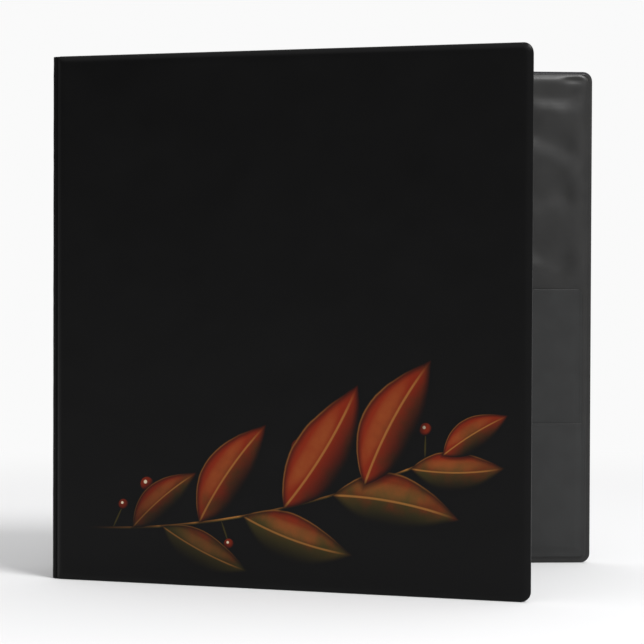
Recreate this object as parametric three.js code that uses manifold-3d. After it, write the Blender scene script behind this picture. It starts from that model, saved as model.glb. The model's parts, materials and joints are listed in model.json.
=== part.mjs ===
// Three-ring binder, standing ajar on the bottom edges of its covers.
// Millimetres, +Z up. The origin is the middle of the back cover's bottom edge.
// The back cover lies in the XZ plane, with its hinge at low X and its outside facing +Y.

import * as THREE from 'three';
import { mergeVertices } from 'three/addons/utils/BufferGeometryUtils.js';
import Module from 'manifold-3d';

const wasm = await Module();
wasm.setup();

// Covers and spine
const COVER_HEIGHT = 295;
const COVER_REACH = 280;
const SPINE_SPAN = 74;
const HINGE_MARGIN = 5;
const FREE_CORNER_RADIUS = 5.5;
const HINGE_CORNER_RADIUS = 1.2;
const BACK_ANGLE = 123;
const FRONT_ANGLE = 80;

// Sheets and board of a panel, from the outside in
const WRAP_SHEET = 0.5;
const BOARD_THICKNESS = 1.8;
const LINER_SHEET = 0.45;
const LAYER_GAP = 0.25;
const RIM_WIDTH = 2.2;
const RIM_GAP = 0.3;
const CROWN_WIDTH = 4;
const CROWN_DEPTH = 1.7;
const RIM_ROUND = 0.7;
const SMALLEST_CORNER = 0.3;
const CORNER_STEPS = 4;
const CROWN_STEPS = 4;
const RIM_STEPS = 2;

// Hinge webs, where the two sheets are welded into one
const WEB_THICKNESS = 0.8;
const WEB_END_INSET = 0.6;
const WEB_GAP = 0.3;
const WEB_STEPS = 8;

// Pockets, each a sheet welded down along three sides
const POCKET_SHEET = 0.35;
const POCKET_SEAT = 0.3;
const POCKET_PLAY = 0.3;
const POCKET_HEM = 1.6;
const POCKET_FREE_INSET = 3.4;
const POCKET_BOTTOM_INSET = 4;
const FRONT_POCKET_START = 12;
const BACK_POCKET_START = 68;
const UPPER_POCKET_BOTTOM = 71.5;
const UPPER_POCKET_TOP = 164.5;
const LOWER_POCKET_TOP = 84;
const POCKET_CORNER_RADIUS = 3;

// Ring mechanism, measured along the back cover from its hinge
const HOUSING_CENTRE = 44;
const HOUSING_HALF_WIDTH = 15;
const HOUSING_END_RUN = 17.5;
const HOUSING_SHEET = 0.9;
const HOUSING_WALL_HEIGHT = 5;
const HOUSING_RISE = 3.6;
const HOUSING_SEAT = 0.4;
const HOUSING_LIP = 2.5;
const ARCH_STEPS = 10;

// Toggle blades under the housing
const BLADE_THICKNESS = 1;
const BLADE_SIDE_PLAY = 0.4;
const BLADE_MIDDLE_PLAY = 0.3;
const BLADE_PIVOT_HEIGHT = 3.4;
const BLADE_DROP = 5;
const BLADE_END_PLAY = 3;
const BLADE_ROUND_STEPS = 4;

// Rings
const RING_PITCH = 108;
const RING_COUNT = 3;
const RING_HEIGHT = 55;
const WIRE_RADIUS = 1.9;
const WIRE_SIDES = 10;
const RING_FOOT_OFFSET = 9.5;
const FOOT_RISE = 9;
const FOOT_BEND = 6;
const FOOT_TURN = 45;
const CURVE_RADIUS = 20;
const POST_BEND = 7;
const TIP_GAP = 0.3;
const TIP_RADIUS = 1;
const TIP_LENGTH = 1.2;
const TIP_TAPER = 0.5;
const TIP_PLAY = 0.3;
const SPLIT_RUN = 1.2;
const SPIGOT_RADIUS = 1.2;
const SPIGOT_PLAY = 0.3;
const SPIGOT_REACH = 0.5;
const SLOT_PLAY = 0.5;
const RING_SWING = 13;

// Levers and their pins
const LEVER_END_INSET = 3.5;
const LEVER_WIDTH = 22;
const LEVER_PLATE = 1.4;
const LEVER_ARM = 20;
const LEVER_LEAN = 25;
const LEVER_TIP_RADIUS = 6;
const KNUCKLE_RADIUS = 2.2;
const KNUCKLE_HEIGHT = 3;
const NOSE_WIDTH = 10;
const NOSE_REACH = 4;
const NOSE_BOTTOM = 0.6;
const NOSE_PLATE = 0.85;
const PIN_RADIUS = 1.15;
const PIN_PLAY = 0.25;
const PIN_HEAD_RADIUS = 2;
const PIN_HEAD_LENGTH = 0.8;
const EAR_RUN = 3;
const ROUND_STEPS = 16;

// Rivets through the back cover
const RIVET_RADIUS = 2.2;
const RIVET_PLAY = 0.3;
const RIVET_HEAD_RADIUS = 5;
const RIVET_DOME = 1.2;
const RIVET_INNER_HEAD_RADIUS = 3.4;
const RIVET_INNER_HEAD = 0.9;
const RIVET_SEAT = 0.3;
const RIVET_NOTCH_PLAY = 2.8;

// Sizes that follow from the ones above
const PANEL_THICKNESS = WRAP_SHEET + BOARD_THICKNESS + LINER_SHEET + 2 * LAYER_GAP;
// The sheets are welded half way through the flat of a panel's edge. The hinges bend there.
const WELD_DEPTH = (CROWN_DEPTH + PANEL_THICKNESS - RIM_ROUND) / 2;
const LINER_LEVEL = WELD_DEPTH - PANEL_THICKNESS;
const COVER_MIDDLE = (HINGE_MARGIN + COVER_REACH) / 2;
const HOUSING_HEIGHT = HOUSING_SEAT + HOUSING_WALL_HEIGHT - HOUSING_SHEET + HOUSING_RISE;
const HOUSING_LENGTH = (RING_COUNT - 1) * RING_PITCH + 2 * HOUSING_END_RUN;
const HOUSING_END = (COVER_HEIGHT - HOUSING_LENGTH) / 2;
const ARCH_RADIUS = (HOUSING_HALF_WIDTH ** 2 + HOUSING_RISE ** 2) / (2 * HOUSING_RISE);
const LEVER_STATION = HOUSING_END + LEVER_END_INSET;
const BLADE_PIVOT_OFFSET = HOUSING_HALF_WIDTH - HOUSING_SHEET - BLADE_SIDE_PLAY - BLADE_THICKNESS / 2;
const BLADE_WIDTH = BLADE_PIVOT_OFFSET - BLADE_MIDDLE_PLAY;
const RING_STATIONS = Array.from(
  { length: RING_COUNT },
  (_, i) => COVER_HEIGHT / 2 + (i - (RING_COUNT - 1) / 2) * RING_PITCH,
);
const RIVET_STATIONS = [-1, 1].map((side) => COVER_HEIGHT / 2 + (side * RING_PITCH) / 2);

// Finishes
const outerVinyl = new THREE.MeshStandardMaterial({ color: 0x141416, roughness: 0.42 });
const linerVinyl = new THREE.MeshStandardMaterial({ color: 0x2b2b2c, roughness: 0.55 });
const pocketVinyl = new THREE.MeshStandardMaterial({ color: 0x303031, roughness: 0.5 });
const greyBoard = new THREE.MeshStandardMaterial({ color: 0x8a8175, roughness: 0.95 });
const platedSteel = new THREE.MeshStandardMaterial({ color: 0xc4c6c8, roughness: 0.25, metalness: 1 });

const degrees = THREE.MathUtils.degToRad;

// Shared vertices, no empty triangles, and faces that point out
function tidy(geometry) {
  const bare = geometry.clone();
  bare.deleteAttribute('normal');
  bare.deleteAttribute('uv');
  const merged = mergeVertices(bare, 1e-4);
  const corners = merged.index.array;
  const kept = [];
  for (let i = 0; i < corners.length; i += 3) {
    const [a, b, c] = corners.slice(i, i + 3);
    if (a !== b && b !== c && c !== a) {
      kept.push(a, b, c);
    }
  }
  const places = merged.getAttribute('position');
  const [p, q, r] = [new THREE.Vector3(), new THREE.Vector3(), new THREE.Vector3()];
  let volume = 0;
  for (let i = 0; i < kept.length; i += 3) {
    p.fromBufferAttribute(places, kept[i]);
    q.fromBufferAttribute(places, kept[i + 1]);
    r.fromBufferAttribute(places, kept[i + 2]);
    volume += p.dot(q.cross(r));
  }
  if (volume < 0) {
    kept.reverse();
  }
  merged.setIndex(kept);
  return merged;
}

function solid(geometry) {
  const { index, attributes } = tidy(geometry);
  return new wasm.Manifold(new wasm.Mesh({
    numProp: 3,
    vertProperties: new Float32Array(attributes.position.array),
    triVerts: new Uint32Array(index.array),
  }));
}

function surface(body) {
  const { vertProperties, triVerts } = body.getMesh();
  const geometry = new THREE.BufferGeometry();
  geometry.setAttribute('position', new THREE.BufferAttribute(vertProperties, 3));
  geometry.setIndex(new THREE.BufferAttribute(triVerts, 1));
  return geometry;
}

// One geometry with others cut out of it
function cut(geometry, ...tools) {
  return surface(tools.reduce((body, tool) => body.subtract(solid(tool)), solid(geometry)));
}

function join(...geometries) {
  return surface(geometries.map(solid).reduce((a, b) => a.add(b)));
}

function piece(name, geometry, material) {
  const mesh = new THREE.Mesh(tidy(geometry), material);
  mesh.name = name;
  return mesh;
}

// A closed skin over rings of points, each ring with as many points as the next
function loft(rings) {
  const count = rings[0].length;
  const last = (rings.length - 1) * count;
  const index = [];
  for (let row = 0; row < last; row += count) {
    for (let k = 0; k < count; k += 1) {
      const a = row + k;
      const b = row + ((k + 1) % count);
      index.push(a, b, b + count, a, b + count, a + count);
    }
  }
  for (let k = 1; k + 1 < count; k += 1) {
    index.push(0, k + 1, k, last, last + k, last + k + 1);
  }
  const geometry = new THREE.BufferGeometry().setFromPoints(rings.flat());
  geometry.setIndex(index);
  return geometry;
}

// The outline of a sheet standing in the XZ plane: x and z limits, then a radius for each end
function sheetOutline({ start, end, bottom, top, startRadius, endRadius }, inset, depth) {
  const corners = [
    [end - inset, bottom + inset, -1, 1, endRadius, -90],
    [end - inset, top - inset, -1, -1, endRadius, 0],
    [start + inset, top - inset, 1, -1, startRadius, 90],
    [start + inset, bottom + inset, 1, 1, startRadius, 180],
  ];
  return corners.flatMap(([x, z, inX, inZ, radius, firstAngle]) => {
    const round = Math.max(radius - inset, SMALLEST_CORNER);
    return Array.from({ length: CORNER_STEPS + 1 }, (_, i) => {
      const angle = degrees(firstAngle + (90 * i) / CORNER_STEPS);
      return new THREE.Vector3(
        x + round * (inX + Math.cos(angle)),
        WELD_DEPTH - depth,
        z + round * (inZ + Math.sin(angle)),
      );
    });
  });
}

function plate(outline, inset, outerDepth, innerDepth) {
  return loft([sheetOutline(outline, inset, outerDepth), sheetOutline(outline, inset, innerDepth)]);
}

// A round bar along X, Y or Z
function bar(axis, radius, length, centre) {
  const geometry = new THREE.CylinderGeometry(radius, radius, length, ROUND_STEPS);
  if (axis === 'x') {
    geometry.rotateZ(Math.PI / 2);
  } else if (axis === 'z') {
    geometry.rotateX(Math.PI / 2);
  }
  return geometry.translate(...centre);
}

function block(width, height, length, centre) {
  return new THREE.BoxGeometry(width, height, length).translate(...centre);
}

// Panel frame: X along the panel from a hinge axis, +Y out of the binder, Z up.
// The hinge axes lie in the weld plane, at Y 0. A depth is measured in from the outer face.
const coverOutline = {
  start: HINGE_MARGIN,
  end: COVER_REACH,
  bottom: 0,
  top: COVER_HEIGHT,
  startRadius: HINGE_CORNER_RADIUS,
  endRadius: FREE_CORNER_RADIUS,
};
const spineOutline = {
  start: HINGE_MARGIN,
  end: SPINE_SPAN - HINGE_MARGIN,
  bottom: 0,
  top: COVER_HEIGHT,
  startRadius: HINGE_CORNER_RADIUS,
  endRadius: HINGE_CORNER_RADIUS,
};

// The outer sheet of a panel: a shallow tray that is crowned along its edges, where the vinyl
// draws over the board, and whose rim closes round it
function wrap(outline) {
  const section = [];
  for (let i = 0; i <= CROWN_STEPS; i += 1) {
    const turn = (Math.PI / 2) * (i / CROWN_STEPS);
    section.push([CROWN_WIDTH * (1 - Math.sin(turn)), CROWN_DEPTH * (1 - Math.cos(turn))]);
  }
  for (let i = 0; i <= RIM_STEPS; i += 1) {
    const turn = (Math.PI / 2) * (i / RIM_STEPS);
    section.push([RIM_ROUND * (1 - Math.cos(turn)), PANEL_THICKNESS - RIM_ROUND * (1 - Math.sin(turn))]);
  }
  section.push([RIM_WIDTH, PANEL_THICKNESS]);
  section.push([RIM_WIDTH, WRAP_SHEET]);
  return loft(section.map(([inset, depth]) => sheetOutline(outline, inset, depth)));
}

function board(outline) {
  const outerDepth = WRAP_SHEET + LAYER_GAP;
  return plate(outline, RIM_WIDTH + RIM_GAP, outerDepth, outerDepth + BOARD_THICKNESS);
}

function liner(outline) {
  return plate(outline, RIM_WIDTH + RIM_GAP, PANEL_THICKNESS - LINER_SHEET, PANEL_THICKNESS);
}

// A pocket sheet, open at its top, on a hem that stands on the liner
function pocket(start, end, bottom, top, hollow) {
  const outline = {
    start,
    end,
    bottom,
    top,
    startRadius: POCKET_CORNER_RADIUS,
    endRadius: POCKET_CORNER_RADIUS,
  };
  const foot = PANEL_THICKNESS + POCKET_SEAT;
  const mouth = {
    ...outline,
    start: outline.start + POCKET_HEM,
    end: outline.end - POCKET_HEM,
    bottom: outline.bottom + POCKET_HEM,
    top: outline.top + POCKET_HEM,
  };
  return cut(
    plate(outline, 0, foot, foot + hollow + POCKET_SHEET),
    plate(mouth, 0, foot - POCKET_SEAT / 2, foot + hollow),
  );
}

// The lower pocket passes over the foot of the upper one, which stands within its hems
function pockets(side, start) {
  const end = COVER_REACH - POCKET_FREE_INSET;
  const upperInset = POCKET_HEM + POCKET_PLAY;
  const upperHollow = POCKET_PLAY;
  const lowerHollow = upperHollow + POCKET_SHEET + POCKET_PLAY;
  const upper = pocket(start + upperInset, end - upperInset, UPPER_POCKET_BOTTOM, UPPER_POCKET_TOP, upperHollow);
  const lower = pocket(start, end, POCKET_BOTTOM_INSET, LOWER_POCKET_TOP, lowerHollow);
  return [
    piece(`${side}_upper_pocket`, upper, pocketVinyl),
    piece(`${side}_lower_pocket`, lower, pocketVinyl),
  ];
}

function rivetHoles() {
  return RIVET_STATIONS.map((z) => bar(
    'y',
    RIVET_RADIUS + RIVET_PLAY,
    3 * PANEL_THICKNESS,
    [HOUSING_CENTRE, 0, z],
  ));
}

function frontCover() {
  const group = new THREE.Group();
  group.add(
    piece('front_outer_wrap', wrap(coverOutline), outerVinyl),
    piece('front_board', board(coverOutline), greyBoard),
    piece('front_liner', liner(coverOutline), linerVinyl),
    ...pockets('front', FRONT_POCKET_START),
  );
  return group;
}

function spine() {
  const group = new THREE.Group();
  group.add(
    piece('spine_outer_wrap', wrap(spineOutline), outerVinyl),
    piece('spine_board', board(spineOutline), greyBoard),
    piece('spine_liner', liner(spineOutline), linerVinyl),
  );
  return group;
}

function backCover() {
  const holes = rivetHoles();
  const group = new THREE.Group();
  group.add(
    piece('back_outer_wrap', cut(wrap(coverOutline), ...holes), outerVinyl),
    piece('back_board', cut(board(coverOutline), ...holes), greyBoard),
    piece('back_liner', cut(liner(coverOutline), ...holes), linerVinyl),
    ...pockets('back', BACK_POCKET_START),
  );
  return group;
}

// A hinge web: an arc from one panel's weld plane to the other's, tangent to both.
// Its frame has the hinge axis at the origin, one panel along +X and the inside at -Y.
function hingeWeb(interiorAngle) {
  const half = degrees(interiorAngle / 2);
  const radius = HINGE_MARGIN * Math.tan(half);
  const sweep = Math.PI - 2 * half - (2 * WEB_GAP) / radius;
  const first = Math.PI / 2 + WEB_GAP / radius;
  const arc = (r) => Array.from({ length: WEB_STEPS + 1 }, (_, i) => {
    const angle = first + (sweep * i) / WEB_STEPS;
    return new THREE.Vector2(HINGE_MARGIN + r * Math.cos(angle), -radius + r * Math.sin(angle));
  });
  const outline = [...arc(radius + WEB_THICKNESS / 2), ...arc(radius - WEB_THICKNESS / 2).reverse()];
  return new THREE.ExtrudeGeometry(new THREE.Shape(outline), {
    depth: COVER_HEIGHT - 2 * WEB_END_INSET,
    bevelEnabled: false,
  }).translate(0, 0, WEB_END_INSET);
}

// Mechanism frame: X along the back cover from its hinge, +Y up from the liner, +Z down the
// cover from its top edge. The mechanism is the same at both ends.

// The housing is sheet steel, arched across, with lips turned in under its long edges
function archPoints(halfWidth, wallTop, radius) {
  const half = Math.asin(halfWidth / radius);
  const centreHeight = wallTop - radius * Math.cos(half);
  return Array.from({ length: ARCH_STEPS + 1 }, (_, i) => {
    const angle = -half + (2 * half * i) / ARCH_STEPS;
    return [radius * Math.sin(angle), centreHeight + radius * Math.cos(angle)];
  });
}

function housingSection() {
  const wall = HOUSING_HALF_WIDTH;
  const inner = wall - HOUSING_SHEET;
  const foot = HOUSING_SEAT;
  const lipTop = foot + HOUSING_SHEET;
  const shoulder = HOUSING_HEIGHT - HOUSING_RISE;
  const bend = HOUSING_SHEET * 0.6;
  const outerArch = archPoints(wall, shoulder, ARCH_RADIUS);
  const innerArch = archPoints(inner, shoulder - HOUSING_SHEET / 2, ARCH_RADIUS - HOUSING_SHEET);
  const half = [
    [-wall + HOUSING_LIP, lipTop],
    [-wall + HOUSING_LIP, foot],
    [-wall + bend, foot],
    [-wall, foot + bend],
  ];
  const points = [
    ...half,
    ...outerArch,
    ...half.map(([x, y]) => [-x, y]).reverse(),
    [inner, lipTop],
    ...innerArch.reverse(),
    [-inner, lipTop],
  ];
  return new THREE.Shape(points.map(([x, y]) => new THREE.Vector2(HOUSING_CENTRE + x, y)));
}

// A slot in the housing that lets a ring's foot swing
function footSlot(side, z) {
  const halfLength = WIRE_RADIUS + SLOT_PLAY;
  const swing = FOOT_RISE * Math.sin(degrees(RING_SWING)) * 0.7;
  const shape = new THREE.Shape();
  shape.absarc(0, 0, halfLength, -Math.PI / 2, Math.PI / 2);
  shape.absarc(-swing, 0, halfLength, Math.PI / 2, (3 * Math.PI) / 2);
  const geometry = new THREE.ExtrudeGeometry(shape, {
    depth: HOUSING_HEIGHT,
    bevelEnabled: false,
    curveSegments: 6,
  });
  geometry.rotateX(-Math.PI / 2);
  if (side > 0) {
    geometry.rotateY(Math.PI);
  }
  return geometry.translate(HOUSING_CENTRE + side * RING_FOOT_OFFSET, HOUSING_SHEET * 2.5, z);
}

// The arch is cut back at each end, which leaves two ears for the lever's pin
function earCut(end) {
  const top = HOUSING_SEAT + HOUSING_WALL_HEIGHT - HOUSING_SHEET;
  const inward = LEVER_END_INSET + EAR_RUN;
  const z = end < 0 ? HOUSING_END + inward / 2 : HOUSING_END + HOUSING_LENGTH - inward / 2;
  const width = 2 * (HOUSING_HALF_WIDTH - HOUSING_SHEET);
  return [
    block(width, HOUSING_HEIGHT * 2, inward + 0.01, [HOUSING_CENTRE, HOUSING_HEIGHT, z]),
    block(width * 2, HOUSING_HEIGHT, inward + 0.01, [HOUSING_CENTRE, top + HOUSING_HEIGHT / 2, z]),
  ];
}

function leverStation(end) {
  return end < 0 ? LEVER_STATION : COVER_HEIGHT - LEVER_STATION;
}

function housing() {
  const blank = new THREE.ExtrudeGeometry(housingSection(), {
    depth: HOUSING_LENGTH,
    bevelEnabled: false,
  }).translate(0, 0, HOUSING_END);
  const slots = RING_STATIONS.flatMap((z) => [footSlot(-1, z), footSlot(1, z)]);
  const pinHoles = [-1, 1].map((end) => bar(
    'x',
    PIN_RADIUS + PIN_PLAY,
    3 * HOUSING_HALF_WIDTH,
    [HOUSING_CENTRE, KNUCKLE_HEIGHT, leverStation(end)],
  ));
  const rivets = RIVET_STATIONS.map((z) => bar(
    'y',
    RIVET_RADIUS + RIVET_PLAY,
    HOUSING_HEIGHT,
    [HOUSING_CENTRE, HOUSING_HEIGHT, z],
  ));
  return cut(blank, ...slots, ...earCut(-1), ...earCut(1), ...pinHoles, ...rivets);
}

// A toggle blade: it rocks on its rounded outer edge, and the two inner edges meet in the middle
function blade(side) {
  const half = BLADE_THICKNESS / 2;
  const round = Array.from({ length: BLADE_ROUND_STEPS + 1 }, (_, i) => {
    const angle = Math.PI / 2 + (Math.PI * i) / BLADE_ROUND_STEPS;
    return [half * Math.cos(angle), half * Math.sin(angle)];
  });
  const drop = degrees(-BLADE_DROP);
  const points = [...round, [BLADE_WIDTH, -half], [BLADE_WIDTH, half]].map(([x, y]) => {
    const along = x * Math.cos(drop) - y * Math.sin(drop);
    const height = x * Math.sin(drop) + y * Math.cos(drop);
    return new THREE.Vector2(
      HOUSING_CENTRE + side * (BLADE_PIVOT_OFFSET - along),
      BLADE_PIVOT_HEIGHT + height,
    );
  });
  const first = LEVER_STATION + BLADE_END_PLAY;
  const blank = new THREE.ExtrudeGeometry(new THREE.Shape(points), {
    depth: COVER_HEIGHT - 2 * first,
    bevelEnabled: false,
  }).translate(0, 0, first);
  const notches = RIVET_STATIONS.map((z) => bar(
    'y',
    RIVET_RADIUS + RIVET_NOTCH_PLAY,
    HOUSING_HEIGHT,
    [HOUSING_CENTRE, BLADE_PIVOT_HEIGHT, z],
  ));
  const spigotHoles = RING_STATIONS.map((z) => bar(
    'y',
    SPIGOT_RADIUS + SPIGOT_PLAY,
    HOUSING_HEIGHT,
    [HOUSING_CENTRE + side * RING_FOOT_OFFSET, BLADE_PIVOT_HEIGHT, z],
  ));
  return cut(blank, ...notches, ...spigotHoles);
}

// A bent wire in the XY plane, from stations of place, heading and radius
function wire(stations, z) {
  return loft(stations.map(({ x, y, heading, radius }) => Array.from({ length: WIRE_SIDES }, (_, i) => {
    const angle = (2 * Math.PI * (i + 0.5)) / WIRE_SIDES;
    const across = radius * Math.cos(angle);
    return new THREE.Vector3(
      x - across * Math.sin(heading),
      y + across * Math.cos(heading),
      z + radius * Math.sin(angle),
    );
  })));
}

// Stations round a bend, from one angle on its circle to another
function bend(centreX, centreY, bendRadius, fromAngle, toAngle, steps) {
  const turn = Math.sign(toAngle - fromAngle);
  return Array.from({ length: steps + 1 }, (_, i) => {
    const angle = degrees(fromAngle + ((toAngle - fromAngle) * i) / steps);
    return {
      x: centreX + bendRadius * Math.cos(angle),
      y: centreY + bendRadius * Math.sin(angle),
      heading: angle + (turn * Math.PI) / 2,
      radius: WIRE_RADIUS,
    };
  });
}

// The foot of a ring half: a spigot through the blade, and a shoulder just above it
function ringFoot(x) {
  const reach = BLADE_PIVOT_OFFSET - RING_FOOT_OFFSET;
  const middle = BLADE_PIVOT_HEIGHT - reach * Math.tan(degrees(BLADE_DROP));
  const shoulder = middle + BLADE_THICKNESS / 2 + SPIGOT_PLAY + WIRE_RADIUS * Math.sin(degrees(BLADE_DROP));
  const heading = Math.PI / 2;
  return [
    { x, y: middle - BLADE_THICKNESS / 2 - SPIGOT_REACH, heading, radius: SPIGOT_RADIUS },
    { x, y: shoulder, heading, radius: SPIGOT_RADIUS },
    { x, y: shoulder, heading, radius: WIRE_RADIUS },
  ];
}

const POST_X = HOUSING_CENTRE + RING_FOOT_OFFSET;
const CURVE_FOOT_X = HOUSING_CENTRE - RING_FOOT_OFFSET;
const SPLIT_X = POST_X - POST_BEND - SPLIT_RUN;

// The straight half of a D ring: a post that bends over at its top, with a socket in its end
function postHalf(z) {
  const face = SPLIT_X + TIP_GAP / 2;
  const heading = Math.PI;
  return wire([
    ...ringFoot(POST_X),
    ...bend(POST_X - POST_BEND, RING_HEIGHT - POST_BEND, POST_BEND, 0, 90, 6),
    { x: face, y: RING_HEIGHT, heading, radius: WIRE_RADIUS },
    { x: face, y: RING_HEIGHT, heading, radius: TIP_RADIUS + TIP_PLAY },
    { x: face + TIP_LENGTH, y: RING_HEIGHT, heading, radius: TIP_TAPER + TIP_PLAY },
  ], z);
}

// The curved half: up from its foot, round the large bend, and along the top to a tapered tip
function curvedHalf(z) {
  const turn = degrees(FOOT_TURN);
  const footBend = bend(CURVE_FOOT_X - FOOT_BEND, FOOT_RISE, FOOT_BEND, 0, FOOT_TURN, 3);
  const leaving = footBend[footBend.length - 1];
  const centreY = RING_HEIGHT - CURVE_RADIUS;
  const tangentY = centreY - CURVE_RADIUS * Math.sin(turn);
  const centreX = leaving.x - (tangentY - leaving.y) * Math.tan(turn) + CURVE_RADIUS * Math.cos(turn);
  const face = SPLIT_X - TIP_GAP / 2;
  const heading = 0;
  return wire([
    ...ringFoot(CURVE_FOOT_X),
    ...footBend,
    ...bend(centreX, centreY, CURVE_RADIUS, 180 + FOOT_TURN, 90, 12),
    { x: face, y: RING_HEIGHT, heading, radius: WIRE_RADIUS },
    { x: face, y: RING_HEIGHT, heading, radius: TIP_RADIUS },
    { x: face + TIP_LENGTH, y: RING_HEIGHT, heading, radius: TIP_TAPER },
  ], z);
}

// An opening lever: a knuckle on the pin, a nose under the blades and a thumb plate
function lever(end) {
  const z = leverStation(end);
  const knuckle = bar('x', KNUCKLE_RADIUS, LEVER_WIDTH, [HOUSING_CENTRE, KNUCKLE_HEIGHT, z]);
  const bore = bar('x', PIN_RADIUS + PIN_PLAY, 2 * LEVER_WIDTH, [HOUSING_CENTRE, KNUCKLE_HEIGHT, z]);
  const nose = block(
    NOSE_WIDTH,
    NOSE_PLATE,
    NOSE_REACH,
    [HOUSING_CENTRE, NOSE_BOTTOM + NOSE_PLATE / 2, z - (end * NOSE_REACH) / 2],
  );
  const half = LEVER_WIDTH / 2;
  const shape = new THREE.Shape();
  shape.moveTo(-half, 0);
  shape.lineTo(half, 0);
  shape.absarc(half - LEVER_TIP_RADIUS, LEVER_ARM - LEVER_TIP_RADIUS, LEVER_TIP_RADIUS, 0, Math.PI / 2);
  shape.absarc(LEVER_TIP_RADIUS - half, LEVER_ARM - LEVER_TIP_RADIUS, LEVER_TIP_RADIUS, Math.PI / 2, Math.PI);
  const arm = new THREE.ExtrudeGeometry(shape, {
    depth: LEVER_PLATE,
    bevelEnabled: false,
    curveSegments: 5,
  });
  arm.translate(0, PIN_RADIUS + PIN_PLAY, -LEVER_PLATE / 2);
  arm.rotateX(end * degrees(LEVER_LEAN));
  arm.translate(HOUSING_CENTRE, KNUCKLE_HEIGHT, z);
  return cut(join(knuckle, arm, nose), bore);
}

function turned(profile, axis, centre) {
  const geometry = new THREE.LatheGeometry(profile.map(([r, y]) => new THREE.Vector2(r, y)), ROUND_STEPS);
  if (axis === 'x') {
    geometry.rotateZ(-Math.PI / 2);
  }
  return geometry.translate(...centre);
}

// A lever pin, with a low head outside each ear
function leverPin(end) {
  const inside = HOUSING_HALF_WIDTH + PIN_PLAY;
  const outside = inside + PIN_HEAD_LENGTH;
  const chamfer = PIN_HEAD_LENGTH / 2;
  return turned([
    [0, -outside],
    [PIN_HEAD_RADIUS - chamfer, -outside],
    [PIN_HEAD_RADIUS, -outside + chamfer],
    [PIN_HEAD_RADIUS, -inside],
    [PIN_RADIUS, -inside],
    [PIN_RADIUS, inside],
    [PIN_HEAD_RADIUS, inside],
    [PIN_HEAD_RADIUS, outside - chamfer],
    [PIN_HEAD_RADIUS - chamfer, outside],
    [0, outside],
  ], 'x', [HOUSING_CENTRE, KNUCKLE_HEIGHT, leverStation(end)]);
}

// A rivet: a low dome on the outside of the cover and a small head on the housing
function rivet(z) {
  const domeEdge = -PANEL_THICKNESS - RIVET_SEAT;
  const dome = Array.from({ length: 5 }, (_, i) => {
    const turn = (Math.PI / 2) * (i / 4);
    return [RIVET_HEAD_RADIUS * Math.sin(turn), domeEdge - RIVET_DOME * Math.cos(turn)];
  });
  const under = HOUSING_HEIGHT + RIVET_SEAT;
  const over = under + RIVET_INNER_HEAD;
  return turned([
    ...dome,
    [RIVET_RADIUS, domeEdge],
    [RIVET_RADIUS, under],
    [RIVET_INNER_HEAD_RADIUS, under],
    [RIVET_INNER_HEAD_RADIUS, over - RIVET_INNER_HEAD / 2],
    [RIVET_INNER_HEAD_RADIUS - RIVET_INNER_HEAD / 2, over],
    [0, over],
  ], 'y', [HOUSING_CENTRE, 0, z]);
}

function mechanism() {
  const group = new THREE.Group();
  const places = ['upper', 'middle', 'lower'];
  group.add(
    piece('ring_housing', housing(), platedSteel),
    piece('hinge_side_blade', blade(-1), platedSteel),
    piece('page_side_blade', blade(1), platedSteel),
    piece('top_lever', lever(-1), platedSteel),
    piece('bottom_lever', lever(1), platedSteel),
    piece('top_lever_pin', leverPin(-1), platedSteel),
    piece('bottom_lever_pin', leverPin(1), platedSteel),
  );
  RING_STATIONS.forEach((z, i) => {
    group.add(
      piece(`${places[i]}_ring_curved_half`, curvedHalf(z), platedSteel),
      piece(`${places[i]}_ring_post_half`, postHalf(z), platedSteel),
    );
  });
  RIVET_STATIONS.forEach((z, i) => {
    group.add(piece(i === 0 ? 'upper_rivet' : 'lower_rivet', rivet(z), platedSteel));
  });
  return group;
}

// The binder, from the back cover round to the front
const binder = new THREE.Group();
const backHinge = new THREE.Vector3(-COVER_MIDDLE, 0, 0);
const spineTurn = degrees(180 - BACK_ANGLE);
const spineHeading = new THREE.Vector3(Math.cos(spineTurn), Math.sin(spineTurn), 0);
const frontHinge = backHinge.clone().addScaledVector(spineHeading, -SPINE_SPAN);
const frontTurn = spineTurn - degrees(FRONT_ANGLE);

const back = backCover();
back.position.copy(backHinge);
const rings = mechanism();
rings.position.set(0, LINER_LEVEL, COVER_HEIGHT);
rings.rotation.x = Math.PI;
back.add(rings);
back.add(piece('back_hinge_web', hingeWeb(BACK_ANGLE), outerVinyl));

const middle = spine();
middle.position.copy(frontHinge);
middle.rotation.z = spineTurn;
middle.add(piece('front_hinge_web', hingeWeb(FRONT_ANGLE), outerVinyl));

// The front cover is the mirror image of a back cover, so its outside faces the other way
const front = frontCover();
front.position.copy(frontHinge);
front.rotation.z = frontTurn;
front.scale.y = -1;

binder.add(back, middle, front);

export default binder;
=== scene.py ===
"""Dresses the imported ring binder: its vinyl skins, pockets, hinge webs, rings and fasteners."""

import json
import math

import bmesh
import bpy
import numpy as np
from bpy.props import FloatProperty, FloatVectorProperty, PointerProperty
from mathutils import Matrix, Vector, noise


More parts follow.
